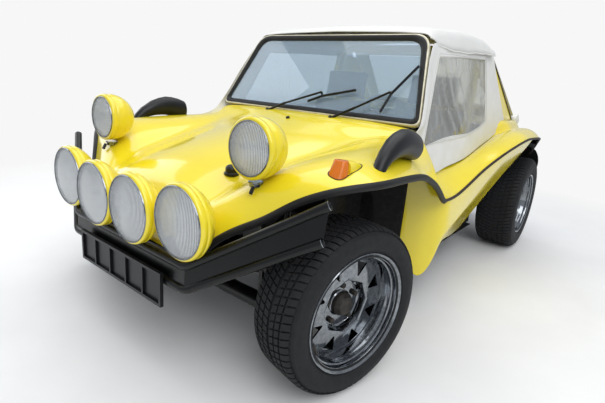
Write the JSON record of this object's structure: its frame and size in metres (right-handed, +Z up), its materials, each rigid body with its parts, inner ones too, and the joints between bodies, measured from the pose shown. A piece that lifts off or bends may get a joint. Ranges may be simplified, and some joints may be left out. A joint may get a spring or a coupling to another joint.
{
  "type": "dune buggy",
  "caption": "Open-wheeled leisure car with a moulded body on a short floor pan, soft top, lamp row, steered front wheels and a bare rear engine",
  "frame": {"origin": "on the ground below the middle of the overall box", "axes": "+X forward, +Y to the left, +Z up"},
  "size_m": [3.198, 1.612, 1.333],
  "materials": {
    "gelcoat": "glossy yellow gelcoat on glass fibre",
    "inner_gelcoat": "dull black flow coat",
    "black_steel": "black paint",
    "screen_frame": "pale anodised frame",
    "screen_glass": "flat laminated glass",
    "white_vinyl": "white coated cloth",
    "clear_vinyl": "clear wrinkled vinyl",
    "chrome_steel": "bright chromed steel",
    "tyre": "treaded rubber",
    "cast_alloy": "dull cast alloy",
    "dark_iron": "dark iron",
    "seat_cover": "black grained cover",
    "lens_glass": "fluted clear glass",
    "amber_lens": "amber lens",
    "red_lens": "red lens",
    "black_plastic": "black moulding",
    "rolled_steel": "plain steel"
  },
  "bodies": {
    "chassis": {"body_shell": "gelcoat", "side_panels": "gelcoat", "floor_pan": "black_steel", "tub": "inner_gelcoat", "windscreen_frame": "screen_frame", "windscreen_glass": "screen_glass", "soft_top_roof": "white_vinyl", "side_curtains": "white_vinyl", "side_windows": "clear_vinyl", "rear_panel": "white_vinyl", "rear_window": "clear_vinyl", "roll_bar": "gelcoat", "dash_panel": "black_plastic", "steering_column": "black_steel", "cockpit_controls": "black_steel", "seats": "seat_cover", "seat_frames": "black_steel", "front_beam": "black_steel", "trailing_arms": "black_steel", "front_shocks": "black_steel", "transaxle": "cast_alloy", "rear_suspension": "black_steel", "engine": "cast_alloy", "fan_shroud": "black_steel", "exhaust": "rolled_steel", "front_bumper": "black_steel", "plate_holder": "black_plastic", "headlight_shells": "gelcoat", "headlight_lenses": "lens_glass", "lamp_shells": "gelcoat", "lamp_lenses": "lens_glass", "indicator_bases": "gelcoat", "indicators": "amber_lens", "mirrors": "black_plastic", "wipers": "black_steel", "tail_lamps": "red_lens", "rear_guard": "black_steel"},
    "steering_wheel": {"steering_wheel": "black_plastic"},
    "drop_arm": {"drop_arm": "dark_iron"},
    "tie_rods": {"tie_rods": "dark_iron"},
    "knuckle_left": {"knuckle_left": "dark_iron"},
    "knuckle_right": {"knuckle_right": "dark_iron"},
    "wheel_front_left": {"tyre_front_left": "tyre", "rim_front_left": "chrome_steel", "drum_front_left": "dark_iron"},
    "wheel_front_right": {"tyre_front_right": "tyre", "rim_front_right": "chrome_steel", "drum_front_right": "dark_iron"},
    "wheel_rear_left": {"tyre_rear_left": "tyre", "rim_rear_left": "chrome_steel", "drum_rear_left": "dark_iron"},
    "wheel_rear_right": {"tyre_rear_right": "tyre", "rim_rear_right": "chrome_steel", "drum_rear_right": "dark_iron"}
  },
  "joints": [
    {"name": "steer_left", "type": "hinge", "parent": "chassis", "child": "knuckle_left", "pos_m": [1.11, 0.5, 0.291], "axis": [0, 0, 1], "range_deg": [-12.9, 37.1]},
    {"name": "steer_right", "type": "hinge", "parent": "chassis", "child": "knuckle_right", "pos_m": [1.11, -0.5, 0.291], "axis": [0, 0, 1], "range_deg": [-12.9, 37.1]},
    {"name": "drop_arm_turn", "type": "hinge", "parent": "chassis", "child": "drop_arm", "pos_m": [1.11, 0.215, 0.35], "axis": [0, 0, 1], "range_deg": [-12.9, 37.1]},
    {"name": "tie_rods_turn", "type": "hinge", "parent": "drop_arm", "child": "tie_rods", "pos_m": [1.18333, 0.19928, 0.31], "axis": [0, 0, 1], "range_deg": [-37.1, 12.9]},
    {"name": "steering_wheel_turn", "type": "hinge", "parent": "chassis", "child": "steering_wheel", "pos_m": [0.31, 0.33, 0.8], "axis": [-0.8863, 0.1341, 0.4432], "range_deg": [-180.6, 519.4]},
    {"name": "spin_front_left", "type": "hinge", "parent": "knuckle_left", "child": "wheel_front_left", "pos_m": [1.14291, 0.65351, 0.291], "axis": [0.2096, 0.9778, 0], "continuous": true},
    {"name": "spin_front_right", "type": "hinge", "parent": "knuckle_right", "child": "wheel_front_right", "pos_m": [1.07709, -0.65351, 0.291], "axis": [0.2096, 0.9778, 0], "continuous": true},
    {"name": "spin_rear_left", "type": "hinge", "parent": "chassis", "child": "wheel_rear_left", "pos_m": [-0.955, 0.675, 0.314], "axis": [0, 1, 0], "continuous": true},
    {"name": "spin_rear_right", "type": "hinge", "parent": "chassis", "child": "wheel_rear_right", "pos_m": [-0.955, -0.675, 0.314], "axis": [0, 1, 0], "continuous": true}
  ],
  "couplings": [
    {"joint": "steer_right", "follows": "steer_left", "ratio": 1},
    {"joint": "drop_arm_turn", "follows": "steer_left", "ratio": 1},
    {"joint": "tie_rods_turn", "follows": "steer_left", "ratio": -1},
    {"joint": "steering_wheel_turn", "follows": "steer_left", "ratio": 14}
  ]
}
